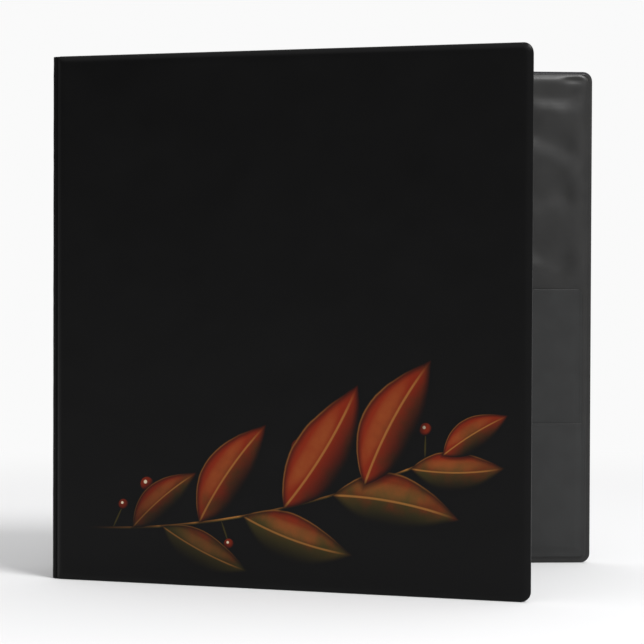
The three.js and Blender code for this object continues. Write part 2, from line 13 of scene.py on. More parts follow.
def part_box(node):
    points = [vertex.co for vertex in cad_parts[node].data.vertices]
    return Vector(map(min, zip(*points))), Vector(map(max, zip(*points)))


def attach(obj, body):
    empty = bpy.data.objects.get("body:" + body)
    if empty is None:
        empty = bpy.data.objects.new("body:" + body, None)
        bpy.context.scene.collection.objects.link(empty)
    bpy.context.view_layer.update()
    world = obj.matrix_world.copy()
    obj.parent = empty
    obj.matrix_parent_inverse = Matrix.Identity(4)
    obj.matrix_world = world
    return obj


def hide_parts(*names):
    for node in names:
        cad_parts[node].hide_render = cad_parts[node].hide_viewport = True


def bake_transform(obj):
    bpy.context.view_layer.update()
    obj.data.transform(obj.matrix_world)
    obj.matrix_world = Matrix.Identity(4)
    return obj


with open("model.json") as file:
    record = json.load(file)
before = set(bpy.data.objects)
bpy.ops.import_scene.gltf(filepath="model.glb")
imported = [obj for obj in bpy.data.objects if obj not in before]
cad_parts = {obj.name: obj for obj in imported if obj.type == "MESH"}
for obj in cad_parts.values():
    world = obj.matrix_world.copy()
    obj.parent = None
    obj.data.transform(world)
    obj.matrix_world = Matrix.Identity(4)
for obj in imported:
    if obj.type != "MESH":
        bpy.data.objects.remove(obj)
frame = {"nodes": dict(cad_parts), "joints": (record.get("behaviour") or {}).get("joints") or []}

bl_info = {
    "name": "Ring binder dressing",
    "version": (1, 0, 0),
    "blender": (4, 5, 0),
    "location": "3D View > Sidebar > Ring binder",
    "description": "Builds the vinyl, pockets, webs, rings and fasteners round a packed ring binder",
    "category": "Object",
}

MM = 0.001
SIDES = ("back", "spine", "front")


# Sizes and colours


def length(name, description, millimetres):
    return FloatProperty(
        name=name, description=description, default=millimetres * MM, unit="LENGTH", precision=5)


def colour(name, description, *rgb):
    return FloatVectorProperty(
        name=name, description=description, default=rgb, size=3, min=0, max=1, subtype="COLOR")


def turn(name, description, degrees):
    return FloatProperty(name=name, description=description, default=math.radians(degrees), subtype="ANGLE")


class BinderVinyl(bpy.types.PropertyGroup):
    outer: colour("Outer vinyl", "Colour of the covers' outside", 0.0017, 0.0017, 0.0018)
    liner: colour("Liner vinyl", "Colour of the puckered inside sheet", 0.0146, 0.0144, 0.0140)
    pocket: colour("Pocket vinyl", "Colour of the pocket sheets", 0.0168, 0.0174, 0.0174)
    cardboard: colour("Cardboard", "Colour of the grey board inside", 0.22, 0.19, 0.155)
    swell: length("Swell", "Height of the slow waves in the outer sheets", 0.14)
    swell_size: length("Swell size", "Distance over which the outer sheets wave", 42)
    roll: length("Roll", "Height of the liner's rolled edge over its flat", 1.03)
    crowding: length("Crowding", "How far the roll moves up to the weld along the top edge", 1.8)
    ripple: length("Ripple height", "Height of the liner's slanted ripples", 2.0)
    ripple_spacing: length("Ripple spacing", "Distance from one ripple to the next", 31.2)
    ripple_slope: turn("Ripple slope", "How far the ripples slope down towards the free edge", 19)
    ripple_start: length("Ripple start", "Where the crest of the lowest ripple crosses the hinge", 26.3)
    dent: length("Corner dent", "Depth of the liner's wrinkle at a cover's upper free corner", 0.75)
    liner_cut: length("Liner cut", "How far the liner stops short of the outer sheet's top edge", 1.3)
    bead: length("Pocket bead", "Height of the bead along a pocket's mouth", 0.1)
    bow: length("Pocket bow", "How far a pocket's mouth stands open at its middle", 1.3)
    pocket_sheet: length("Pocket sheet", "Thickness of a pocket's sheet", 0.35)
    web_sheet: length("Web thickness", "Thickness of a hinge's welded strip", 0.8)
    web_grip: length("Web grip", "How far a hinge's strip runs in under each panel's edge", 0.6)


class BinderPrint(bpy.types.PropertyGroup):
    mahogany: colour("Mahogany", "Red of the printed leaves", 0.23, 0.020, 0.005)
    olive: colour("Olive", "Brown green of the printed leaves", 0.052, 0.040, 0.009)
    amber: colour("Amber", "Lit edges and midribs of the printed leaves", 0.46, 0.19, 0.045)
    cream: colour("Cream", "Palest spots of the print", 0.74, 0.62, 0.44)
    stem_width: length("Stem width", "Width of the printed stem", 1.7)
    stem_curve: FloatProperty(
        name="Stem curve", description="How fast the printed stem climbs, per metre", default=1.05, min=0)


class BinderSteel(bpy.types.PropertyGroup):
    plating: colour("Plating", "Colour of the nickel plating", 0.62, 0.62, 0.61)
    ring_height: length("Ring height", "From the liner to the middle of a ring's wire at its top", 55)
    foot_rise: length("Foot rise", "Height at which a curved half starts to lean", 9)
    foot_bend: length("Foot bend", "Radius of a curved half's first bend", 6)
    foot_turn: turn("Foot turn", "How far a curved half leans out", 45)
    curve_radius: length("Curve radius", "Radius of a ring's large bend", 20)
    post_bend: length("Post bend", "Radius of a post half's bend", 7)
    split_run: length("Split run", "From a post's bend to where the halves meet", 1.2)
    split_gap: length("Split gap", "Gap between the halves of a ring", 0.3)
    tip_radius: length("Tip radius", "Radius of the tip where it leaves the curved half", 1)
    tip_taper: length("Tip taper", "Radius at the end of the tip", 0.5)
    tip_length: length("Tip length", "Length of the tip", 1.2)
    tip_play: length("Tip play", "Room round the tip in its socket", 0.3)
    spigot_radius: length("Spigot radius", "Radius of a ring's foot inside its blade", 1.2)
    shoulder: length("Shoulder height", "Height at which a ring's wire gets its full radius", 4.04)
    edge: length("Edge rounding", "Rounding of the pressed steel's edges", 0.16)


class BinderStage(bpy.types.PropertyGroup):
    floor_colour: colour("Floor", "Colour of the floor", 0.705, 0.705, 0.71)
    floor_bounce: colour("Floor bounce", "Colour that the floor throws back on the binder", 0.40, 0.40, 0.40)
    camera_place: FloatVectorProperty(
        name="Camera place", description="Where the camera stands", size=3, subtype="TRANSLATION",
        default=(-0.11657, -1.38042, 0.17002))
    camera_yaw: turn("Camera yaw", "Turn of the camera to the left", -3.815)
    camera_pitch: turn("Camera pitch", "Turn of the camera upwards", -1.0582)
    camera_roll: turn("Camera roll", "Turn of the camera about its own line of sight", -0.2153)
    lens: FloatProperty(name="Lens", description="Focal length", default=129.55, min=1, unit="CAMERA")
    key_power: FloatProperty(
        name="Key lamp", description="Power of the lamp at the upper right", default=44, unit="POWER")
    top_power: FloatProperty(
        name="Top lamp", description="Power of the lamp overhead", default=3, unit="POWER")


class BinderSettings(bpy.types.PropertyGroup):
    vinyl: PointerProperty(type=BinderVinyl)
    print: PointerProperty(type=BinderPrint)
    steel: PointerProperty(type=BinderSteel)
    stage: PointerProperty(type=BinderStage)


# Shader writing

CLOUD_ROUGHNESS = 0.55


class Signal:
    """A shader socket that can be calculated with: an expression on signals adds its Math nodes."""

    def __init__(self, finish, socket):
        self.finish = finish
        self.socket = socket

    def math(self, operation, *terms):
        return self.finish.node("Math", {"operation": operation}, dict(enumerate(terms)))

    def __add__(self, other):
        return self.math("ADD", self, other)

    def __sub__(self, other):
        return self.math("SUBTRACT", self, other)

    def __rsub__(self, other):
        return self.math("SUBTRACT", other, self)

    def __mul__(self, other):
        return self.math("MULTIPLY", self, other)

    def __truediv__(self, other):
        return self.math("DIVIDE", self, other)

    def __abs__(self):
        return self.math("ABSOLUTE", self)

    __radd__ = __add__
    __rmul__ = __mul__

    def rise(self, low, high):
        """0 below low and 1 above high, with a smooth step between. It falls where high is the lower."""
        return self.finish.node(
            "MapRange", {"interpolation_type": "SMOOTHSTEP"},
            {"Value": self, "From Min": low, "From Max": high, "To Min": 0.0, "To Max": 1.0})


class Finish:
    """A material or a world that is being written as nodes."""

    def __init__(self, owner):
        owner.use_nodes = True
        self.owner = owner
        self.tree = owner.node_tree
        self.tree.nodes.clear()

    def node(self, kind, settings=None, sockets=None, output=0):
        made = self.tree.nodes.new("ShaderNode" + kind)
        for name, value in (settings or {}).items():
            setattr(made, name, value)
        for name, value in (sockets or {}).items():
            if isinstance(value, Signal):
                self.tree.links.new(value.socket, made.inputs[name])
            else:
                made.inputs[name].default_value = value
        return Signal(self, made.outputs[output])

    def place(self):
        """Where a point is on the resting binder, in metres."""
        return self.node("TexCoord", output="Object")

    def along(self, place, direction, start=0.0):
        """How far a place is in a direction, in metres."""
        reach = self.node("VectorMath", {"operation": "DOT_PRODUCT"}, {0: place, 1: direction}, "Value")
        return reach - start

    def cloud(self, place, size, detail=2.0, stretch=(1, 1, 1)):
        """Noise from 0 to 1 whose features are about size metres across."""
        scale = [s / size for s in stretch]
        scaled = self.node("VectorMath", {"operation": "MULTIPLY"}, {0: place, 1: scale})
        return self.node(
            "TexNoise", {}, {"Vector": scaled, "Scale": 1.0, "Detail": detail, "Roughness": CLOUD_ROUGHNESS})

    def mix(self, factor, first, second):
        return self.node("Mix", {"data_type": "RGBA"}, {"Factor": factor, 6: first, 7: second}, 2)

    def bump(self, height, distance, strength=1.0):
        return self.node("Bump", {}, {"Height": height, "Distance": distance, "Strength": strength})

    def surface(self, sockets):
        shader = self.node("BsdfPrincipled", {}, sockets)
        self.node_out(shader)
        return self.owner

    def node_out(self, shader):
        out = self.tree.nodes.new("ShaderNodeOutputMaterial")
        self.tree.links.new(shader.socket, out.inputs["Surface"])


def rgba(rgb, factor=1.0):
    """A colour for a socket, times a factor that makes it lighter or darker."""
    return (*(min(1.0, c * factor) for c in rgb), 1.0)


def material(name):
    return Finish(bpy.data.materials.new(name))


def grained(finish, grain, wave):
    """Embossed vinyl: the place, the pores of a fine leather grain, and a slow unevenness."""
    place = finish.place()
    pores = finish.cloud(place, grain, 3.0)
    slow = finish.cloud(place, wave, 2.0)
    return place, pores, slow


OUTER_GRAIN = 0.55 * MM
OUTER_WAVE = 30 * MM
OUTER_ROUGHNESS = 0.30
OUTER_GLOSS = 0.14
OUTER_CLOUDING = 1.5
WEB_ROUGHNESS = 0.42
WEB_GLOSS = 0.08
LINER_ROUGHNESS = 0.38
POCKET_ROUGHNESS = 0.36
INSIDE_GLOSS = 0.44


def outer_vinyl(name="outer_vinyl", roughness=OUTER_ROUGHNESS, gloss=OUTER_GLOSS):
    outer = bpy.context.scene.binder.vinyl.outer
    f = material(name)
    place, pores, slow = grained(f, OUTER_GRAIN, OUTER_WAVE)
    scuffs = f.cloud(place, 9 * MM, 4.0, (1, 1, 0.3)).rise(0.55, 0.75)
    base = f.mix(slow, rgba(outer), rgba(outer, OUTER_CLOUDING))
    return f.surface({
        "Base Color": base,
        "Roughness": roughness + 0.08 * slow + 0.06 * scuffs,
        "Specular IOR Level": gloss,
        "Normal": f.bump(pores * 0.4 + slow * 6.0, 0.03 * MM, 0.8),
    })


def liner_vinyl(name, base_colour, roughness):
    f = material(name)
    place, pores, slow = grained(f, 0.5 * MM, 14 * MM)
    base = f.mix(slow.rise(0.3, 0.7), rgba(base_colour, 0.86), rgba(base_colour, 1.12))
    return f.surface({
        "Base Color": base,
        "Roughness": roughness + 0.08 * slow,
        "Specular IOR Level": INSIDE_GLOSS,
        "Normal": f.bump(pores * 0.5 + slow * 5.0, 0.04 * MM, 0.8),
    })


def grey_board():
    f = material("grey_board")
    place = f.place()
    fibres = f.cloud(place, 0.8 * MM, 4.0, (0.3, 1, 1))
    flecks = f.cloud(place, 2.5 * MM, 2.0).rise(0.62, 0.7)
    board = bpy.context.scene.binder.vinyl.cardboard
    base = f.mix(flecks * 0.5 + fibres * 0.4, rgba(board), rgba(board, 0.6))
    return f.surface({"Base Color": base, "Roughness": 0.95, "Normal": f.bump(fibres, 0.05 * MM)})


def plated_steel():
    f = material("plated_steel")
    place = f.place()
    brushed = f.cloud(place, 0.25 * MM, 3.0, (1, 1, 0.02))
    smear = f.cloud(place, 22 * MM, 3.0)
    specks = f.cloud(place, 1.1 * MM, 1.0).rise(0.70, 0.76)
    plating = bpy.context.scene.binder.steel.plating
    base = f.mix(smear * 0.5 + specks * 0.5, rgba(plating), rgba(plating, 0.72))
    return f.surface({
        "Base Color": base,
        "Metallic": 1.0,
        "Roughness": 0.15 + 0.1 * smear + 0.08 * brushed,
        "Normal": f.bump(brushed, 0.006 * MM, 0.6),
    })


# Printed motifs, in millimetres from the front cover's hinge and from its bottom edge.
STEM_START = (22, 30)
STEM_END = 250
# A leaf: its foot along the stem, its turn from the stem, length, width, bend of the midrib and share of red.
LEAVES = [
    (52, 36, 50, 19, 0.2, 0.45),
    (70, -30, 56, 21, -0.2, 0.05),
    (92, 46, 68, 27, 0.2, 0.75),
    (118, -28, 66, 27, -0.22, 0.2),
    (142, 44, 80, 33, -0.18, 1.0),
    (170, -26, 72, 30, 0.2, 0.3),
    (188, 42, 78, 32, 0.2, 0.85),
    (214, -20, 52, 22, -0.2, 0.4),
    (232, 8, 42, 18, 0.15, 0.7),
]
# A berry: where its stalk leaves the stem, the stalk's turn and length, and the berry's width.
BERRIES = [(40, 62, 15, 6), (62, 88, 24, 8), (105, -80, 14, 6), (160, 92, 30, 9), (222, 66, 18, 7)]
GLOW_CENTRE = (178, 76)
GLOW_REACH = (150, 84)


class Sprig:
    """A printed sprig on a bent stem, drawn leaf by leaf over a dark ground."""

    def __init__(self, finish, across, up, mottle):
        printed = bpy.context.scene.binder.print
        self.finish, self.across, self.up, self.mottle = finish, across, up, mottle
        self.curve, self.width = printed.stem_curve, printed.stem_width
        self.colour = {name: rgba(getattr(printed, name)) for name in ("mahogany", "olive", "amber", "cream")}
        self.dark = rgba(bpy.context.scene.binder.vinyl.outer)
        right = (across - GLOW_CENTRE[0] * MM) / (GLOW_REACH[0] * MM)
        rise = (up - GLOW_CENTRE[1] * MM) / (GLOW_REACH[1] * MM)
        self.glow = (right * right + rise * rise).rise(1.5, 0.0)

    def foot(self, along):
        """A place on the stem and the stem's slope there."""
        run = (along - STEM_START[0]) * MM
        return along * MM, STEM_START[1] * MM + self.curve * run ** 2, math.atan(2 * self.curve * run)

    def blade(self, along, degrees, long, wide, bend):
        """Places along and across a blade on the stem, and how far inside its outline a point is."""
        foot_across, foot_up, slope = self.foot(along)
        way = slope + math.radians(degrees)
        right, rise = self.across - foot_across, self.up - foot_up
        run = (right * math.cos(way) + rise * math.sin(way)) / (long * MM / 2) - 1
        arch = 1 - run * run
        side = (rise * math.cos(way) - right * math.sin(way)) / (wide * MM / 2) - bend * arch
        # Fullest just below its middle, and nothing past its tip
        fullness = run.math("MINIMUM", run, 2.0) * -0.25 + 1
        return run, side, arch * fullness - abs(side)

    def stem(self, under):
        f = self.finish
        run = self.across - STEM_START[0] * MM
        side = self.up - STEM_START[1] * MM - self.curve * run * run
        line = abs(side).rise(self.width / 2, self.width * 0.3)
        span = self.across.rise(STEM_START[0] * MM, (STEM_START[0] + 60) * MM) * self.across.rise(
            STEM_END * MM, (STEM_END - 20) * MM)
        bark = f.mix(side.rise(-self.width / 3, self.width / 3), self.colour["olive"], self.colour["amber"])
        return f.mix(line * span * (0.25 + 0.75 * self.glow), under, bark)

    def leaf(self, under, along, degrees, long, wide, bend, red):
        f = self.finish
        run, side, inside = self.blade(along, degrees, long, wide, bend)
        inside = inside + (self.mottle - 0.5) * 0.10
        ripe = (self.mottle * 1.5 + side * 0.5 + (red - 0.75)).rise(0.0, 1.0)
        body = f.mix(ripe, self.colour["olive"], self.colour["mahogany"])
        across, lengthwise = side - 0.33, run + 0.1
        sheen = (across * across * 7.0 + lengthwise * lengthwise * 1.6).rise(1.0, 0.0)
        # The midrib runs out before the tip
        rib = abs(side).rise(0.06, 0.015) * run.rise(0.95, 0.5) * 0.7
        edge = inside.rise(0.09, 0.01) * side.rise(0.0, 0.45) * run.rise(1.0, 0.2) * 0.8
        for glint in (sheen * 0.42 * self.mottle, rib, edge):
            body = f.mix(glint, body, self.colour["amber"])
        light = side.rise(-0.95, 0.3) * inside.rise(-0.05, 0.3) * (0.12 + 0.88 * self.glow)
        body = f.mix(light + edge * self.glow * 0.5, self.dark, body)
        shadowed = f.mix(inside.rise(-0.35, 0.0) * 0.7, under, self.dark)
        return f.mix(inside.rise(-0.02, 0.03), shadowed, body)

    def berry(self, under, along, degrees, stalk, wide):
        f = self.finish
        _, _, inside = self.blade(along, degrees, stalk, 1.1, 0)
        under = f.mix(inside.rise(0.0, 0.3) * 0.7, under, self.colour["olive"])
        foot_across, foot_up, slope = self.foot(along)
        way = slope + math.radians(degrees)
        radius = wide * MM / 2
        right = (self.across - foot_across - stalk * MM * math.cos(way)) / radius
        rise = (self.up - foot_up - stalk * MM * math.sin(way)) / radius
        ball = right * right + rise * rise
        lower, upper = right + 0.25, rise - 0.3
        lit = lower * lower + upper * upper
        skin = f.mix(lit.rise(1.6, 0.1) * (0.3 + 0.7 * self.glow), self.dark, self.colour["mahogany"])
        skin = f.mix(lit.rise(0.10, 0.02), skin, self.colour["cream"])
        return f.mix(ball.rise(1.05, 0.92), under, skin)


def printed_vinyl(panel):
    """The front's printed sheet: a generic sprig of leaves in red, olive and amber on black."""
    f = material("printed_vinyl")
    place, pores, slow = grained(f, OUTER_GRAIN, OUTER_WAVE)
    across = f.along(place, tuple(panel.along), float(panel.origin[:2] @ panel.along[:2]))
    up = f.along(place, (0, 0, 1))
    outer = bpy.context.scene.binder.vinyl.outer
    base = f.mix(slow, rgba(outer), rgba(outer, OUTER_CLOUDING))
    sprig = Sprig(f, across, up, f.cloud(place, 14 * MM, 6.0))
    base = sprig.stem(base)
    for berry in BERRIES:
        base = sprig.berry(base, *berry)
    for leaf in LEAVES:
        base = sprig.leaf(base, *leaf)
    return f.surface({
        "Base Color": base,
        "Roughness": OUTER_ROUGHNESS + 0.08 * slow,
        "Specular IOR Level": OUTER_GLOSS,
        "Normal": f.bump(pores * 0.25 + slow * 6.0, 0.03 * MM, 0.8),
    })


# Places and meshes


def node_points(name):
    return np.array([v.co for v in frame["nodes"][name].data.vertices], float)


def joint_place(name):
    return next(np.array(j["pos_m"], float) for j in frame["joints"] if j["name"] == name)


class Panel:
    """A stiff panel of the case. Places on it go along it from a hinge, in from its outside, and up."""

    def __init__(self, side, hinge):
        board = node_points(f"{side}_board")
        wrap = node_points(f"{side}_outer_wrap")
        inside = node_points(f"{side}_liner")
        flat = board[:, :2] - board[:, :2].mean(axis=0)
        direction = np.linalg.svd(flat, full_matrices=False)[2][0]
        self.origin = joint_place(hinge) * (1, 1, 0)
        if direction @ (board[:, :2].mean(axis=0) - self.origin[:2]) < 0:
            direction = -direction
        self.along = np.array([*direction, 0.0])
        outwards = np.array([-direction[1], direction[0], 0.0])
        if outwards @ (board.mean(axis=0) - inside.mean(axis=0)) < 0:
            outwards = -outwards
        self.outwards = outwards
        reach, level = (wrap - self.origin) @ self.along, (wrap - self.origin) @ outwards
        self.start, self.end = reach.min(), reach.max()
        self.face, self.bottom, self.top = level.max(), wrap[:, 2].min(), wrap[:, 2].max()

    def points(self, along, depth, up):
        along, depth, up = (np.asarray(x, float)[..., None] for x in (along, depth, up))
        level = (self.face - depth) * self.outwards
        return self.origin + along * self.along + level + up * np.array([0, 0, 1.0])

    def reach_of(self, name):
        """The lowest and highest along, depth and up of a CAD node."""
        spots = node_points(name) - self.origin
        rows = np.stack([spots @ self.along, self.face - spots @ self.outwards, spots[:, 2]], axis=1)
        return rows.min(axis=0), rows.max(axis=0)


def piece(name, points, faces, finish, smooth=40):
    """A mesh with outward faces, smooth but for edges sharper than the given angle."""
    mesh = bpy.data.meshes.new(name)
    mesh.from_pydata([tuple(p) for p in np.asarray(points).reshape(-1, 3)], [], faces)
    work = bmesh.new()
    work.from_mesh(mesh)
    bmesh.ops.recalc_face_normals(work, faces=work.faces)
    work.to_mesh(mesh)
    work.free()
    mesh.shade_smooth()
    mesh.set_sharp_from_angle(angle=math.radians(smooth))
    mesh.materials.append(finish)
    made = bpy.data.objects.new(name, mesh)
    bpy.context.scene.collection.objects.link(made)
    return made


def grid_faces(rows, columns, first=0, wrap=False):
    """Quads between rows of points. With wrap, each row closes on itself."""
    last = columns if wrap else columns - 1
    return [
        (first + i * columns + j, first + i * columns + (j + 1) % columns,
         first + (i + 1) * columns + (j + 1) % columns, first + (i + 1) * columns + j)
        for i in range(rows - 1) for j in range(last)
    ]


def rim_loop(rows, columns):
    """The border of a grid of points, once round."""
    return (list(range(columns))
            + [i * columns + columns - 1 for i in range(1, rows)]
            + [(rows - 1) * columns + j for j in range(columns - 2, -1, -1)]
            + [i * columns for i in range(rows - 2, 0, -1)])


def edge_faces(rows, columns):
    """Quads that join the borders of two grids of points, the second numbered on from the first."""
    border, count = rim_loop(rows, columns), rows * columns
    return [(a, b, b + count, a + count) for a, b in zip(border, border[1:] + border[:1])]


def tube_faces(rows, sides):
    """The faces of a tube of closed rows of points, with one at either end."""
    ends = [tuple(range(sides)), tuple(range((rows - 1) * sides, rows * sides))]
    return grid_faces(rows, sides, wrap=True) + ends


SHARPEST_BEND = 0.02 * MM


def ring_point(inset, radius, last_inset, part):
    """A point on a corner's ring, from its diagonal at part 0 to the last line at part 1."""
    bend = max(radius - inset, SHARPEST_BEND)
    arc = bend * math.pi / 4
    run = part * (arc + last_inset - inset - bend)
    if run < arc:
        angle = math.pi / 4 - run / bend
        return inset + bend * (1 - math.cos(angle)), inset + bend * (1 - math.sin(angle))
    return inset, inset + bend + run - arc


def rounded_grid(limits, radii, section, step):
    """A grid over a rounded rectangle, whose outer lines follow the edge at the section's insets.
    Returns the places along and up, the section's depth and the inset of each point, as 2-D arrays."""
    start, end, bottom, top = limits
    rings = len(section) - 1
    deepest = section[-1][0]
    inner = [np.linspace(a + deepest, b - deepest, max(2, round((b - a - 2 * deepest) / step) + 1))
             for a, b in ((start, end), (bottom, top))]
    rows, columns = (len(line) + 2 * rings for line in inner)
    along, up, depth, inset = (np.zeros((rows, columns)) for _ in range(4))
    for i in range(rows):
        near_i = min(i, rows - 1 - i)
        for j in range(columns):
            near_j = min(j, columns - 1 - j)
            ring = min(near_i, near_j, rings)
            here = section[ring][0]
            if near_i >= rings and near_j >= rings:
                a, b = inner[0][i - rings], inner[1][j - rings]
            elif near_j >= rings:
                a, b = (start + here if i < rings else end - here), inner[1][j - rings]
            elif near_i >= rings:
                a, b = inner[0][i - rings], (bottom + here if j < rings else top - here)
            else:
                radius = radii[0] if i < rings else radii[1]
                part = (max(near_i, near_j) - ring) / (rings - ring)
                edge, other = ring_point(here, radius, deepest, part)
                if near_i > near_j:
                    edge, other = other, edge
                a = start + edge if i < rings else end - edge
                b = bottom + other if j < rings else top - other
            along[i, j], up[i, j], depth[i, j] = a, b, section[ring][1]
            inset[i, j] = min(a - start, end - a, b - bottom, top - b)
    return along, up, depth, inset


def steps(value, low, high):
    """A smooth step from 0 at low to 1 at high."""
    t = np.clip((value - low) / (high - low), 0, 1)
    return t * t * (3 - 2 * t)


NOISE_GAIN = 1.6


def waves(along, up, size, layer):
    """Slow noise over a panel, from about -1 to 1 with the gain."""
    flat = [noise.noise(Vector((a / size, b / size, layer))) for a, b in zip(along.ravel(), up.ravel())]
    return np.array(flat).reshape(along.shape) * NOISE_GAIN


# Sections run from a panel's rim inwards: inset from the edge and depth from the outer face, in mm.
# The outer sheet: from inside the panel out to its rim, round the edge and over the crown to the face.
WRAP_SECTION = [
    (2.2, 0.5), (2.2, 2.2), (0.25, 2.2), (0.12, 2.2), (0.02, 2.12), (0, 1.96), (0.05, 1.7), (0.22, 1.42),
    (0.6, 1.14), (1.2, 0.82), (1.9, 0.48), (2.6, 0.21), (3.3, 0.06), (4.2, 0.0), (7.0, 0.0),
]
# The liner: from the board's edge out to the cut edge, in over the weld's groove and the roll, to the flat.
LINER_SECTION = [
    (2.9, 2.5), (2.3, 2.48), (1.9, 2.28), (0.35, 2.26), (0.06, 2.26), (0.02, 2.32), (0.02, 2.56),
    (0.07, 2.62), (0.5, 2.66), (1.0, 2.7), (1.6, 2.7), (2.0, 2.66), (2.35, 2.62), (2.6, 2.7), (2.9, 2.88),
    (3.3, 3.1), (3.9, 3.42), (4.5, 3.72), (5.2, 3.96), (6.1, 4.14), (7.2, 4.25), (8.4, 4.28), (10.0, 4.18),
    (12.0, 3.9), (14.0, 3.58), (16.0, 3.36), (18.0, 3.25),
]
# Depth of the liner's flat, and how far the section's roll rises over it
FLAT_DEPTH = 3.25 * MM
ROLL_RISE = 1.03 * MM
# Distance between the lines of each sheet's mesh
WRAP_MESH = 5 * MM
LINER_MESH = 2.5 * MM
POCKET_MESH = 6 * MM
# Insets between which the outer sheet's waves grow, and the depth to which its crown counts as face
SWELL_START = 1.5 * MM
SWELL_FULL = 9 * MM
CROWN_DEPTH = 0.3 * MM
# Insets between which the liner gets free of its weld
FREE_START = 2.5 * MM
FREE_FULL = 17 * MM
# Shares of the roll that stay beside a pocket and that go at the upper free corner
HELD_ROLL = 0.16
CORNER_LOSS = 0.6


def in_metres(section):
    return [(inset * MM, depth * MM) for inset, depth in section]


def add_wrap(panel, side, radii, finish, body):
    """The outer sheet: crowned at its edge and waved a little over its face."""
    vinyl = bpy.context.scene.binder.vinyl
    limits = (panel.start, panel.end, panel.bottom, panel.top)
    along, up, depth, inset = rounded_grid(limits, radii, in_metres(WRAP_SECTION), WRAP_MESH)
    layer = SIDES.index(side) * 7.3
    swell = waves(along, up, vinyl.swell_size, layer)
    swell = swell + 0.5 * waves(along, up, vinyl.swell_size / 2.5, layer + 3)
    on_face = (depth < CROWN_DEPTH) & (inset > SWELL_START)
    depth = depth - np.where(on_face, swell * vinyl.swell * steps(inset, SWELL_START, SWELL_FULL), 0)
    points = panel.points(along, depth, up)
    faces = grid_faces(*along.shape) + [rim_loop(*along.shape)]
    made = piece(f"{side}_wrap_skin", points, faces, finish)
    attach(made, body)
    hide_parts(f"{side}_outer_wrap")


def held_by_pockets(panel, side, along, up):
    """1 where a cover's pockets hold its liner flat, and 0 where it is loose."""
    top = panel.reach_of(f"{side}_upper_pocket")[1][2]
    start = panel.reach_of(f"{side}_lower_pocket")[0][0]
    below = 1 - steps(up, top + 1 * MM, top + 14 * MM)
    return below * steps(along, start - 6 * MM, start - 1 * MM)


def held_by_housing(panel, along):
    """1 behind the housing, which holds the liner down, and 0 well beside it."""
    low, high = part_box("ring_housing")
    near, far = low[0] - panel.origin[0], high[0] - panel.origin[0]
    return steps(along, near - 12 * MM, near - 3 * MM) * (1 - steps(along, far + 3 * MM, far + 12 * MM))


def puckers(vinyl, along, up, layer):
    """The liner's slanted ripples, of uneven strength and course, with small dents between them."""
    slope = vinyl.ripple_slope
    across = up * math.cos(slope) + along * math.sin(slope)
    warp = waves(along, up, 34 * MM, layer) * 0.9 + waves(along, up, 11 * MM, layer + 2) * 0.25
    ripple = np.cos((across - vinyl.ripple_start) / vinyl.ripple_spacing * 2 * math.pi + warp)
    strength = 0.75 + 0.45 * waves(along, up, 45 * MM, layer + 5)
    return ripple * strength + 0.22 * waves(along, up, 12 * MM, layer + 8)


def add_liner(panel, side, radii, finish, body):
    """The inside sheet: welded at its rim, rolled beside the weld and puckered where it is loose."""
    vinyl = bpy.context.scene.binder.vinyl
    limits = (panel.start, panel.end, panel.bottom, panel.top - vinyl.liner_cut)
    along, up, depth, inset = rounded_grid(limits, radii, in_metres(LINER_SECTION), LINER_MESH)
    loose = np.ones_like(up)
    corner = np.zeros_like(up)
    if side != "spine":
        loose = 1 - held_by_pockets(panel, side, along, up)
        corner = steps(along, panel.end - 24 * MM, panel.end - 13 * MM)
        corner = corner * steps(up, panel.top - 24 * MM, panel.top - 8 * MM)
    roll = (depth - FLAT_DEPTH) / ROLL_RISE * vinyl.roll
    roll = roll * (HELD_ROLL + (1 - HELD_ROLL) * loose) * (1 - CORNER_LOSS * corner)
    depth = np.where(depth > FLAT_DEPTH, FLAT_DEPTH + roll, depth)
    # Along the top edge the roll crowds up to the weld, but less so round the corners
    aside = np.minimum(along - limits[0], limits[1] - along)
    crowd = np.interp((limits[3] - up) / MM, (0.2, 2.5, 6, 18), (0, 1, 1, 0))
    up = up + vinyl.crowding * crowd * (0.4 + 0.6 * steps(aside, 2 * MM, 8 * MM))
    # A wrinkle runs in under the roll at the upper free corner
    beside, under = along - panel.end + 11 * MM, up - panel.top + 5.2 * MM
    dent = np.exp(-(beside / (6 * MM)) ** 2 - (under / (1.9 * MM)) ** 2)
    depth = depth - vinyl.dent * dent * steps(inset, 1.6 * MM, 3 * MM) * (side != "spine")
    free = steps(inset, FREE_START, FREE_FULL) * loose
    if side == "back":
        free = free * (1 - held_by_housing(panel, along))
    pucker = puckers(vinyl, along, up, 40 + SIDES.index(side) * 5.7)
    depth = depth + (0.4 + 0.5 * pucker) * vinyl.ripple * free
    points = panel.points(along, depth, up)
    faces = grid_faces(*along.shape) + [rim_loop(*along.shape)]
    made = piece(f"{side}_liner_skin", points, faces, finish)
    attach(made, body)
    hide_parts(f"{side}_liner")


# A pocket's lines run at these insets from its outline, in mm
POCKET_RINGS = [0.0, 0.15, 0.35, 0.6, 0.8, 1.0, 1.2, 1.45, 1.7, 2.2, 2.9, 3.8, 5.0, 6.5]
POCKET_CORNER = 3 * MM
MOUTH_BEAD = 1.2 * MM
HEM = 1.6 * MM
HEM_PITCH = 0.4 * MM
HEM_TOOTH = 0.07 * MM
# The upper pocket's foot shows through the lower pocket's sheet as a low ridge
RIDGE_RISE = 0.12 * MM
RIDGE_WIDTH = 1.2 * MM
POCKET_WAVE = 0.12 * MM


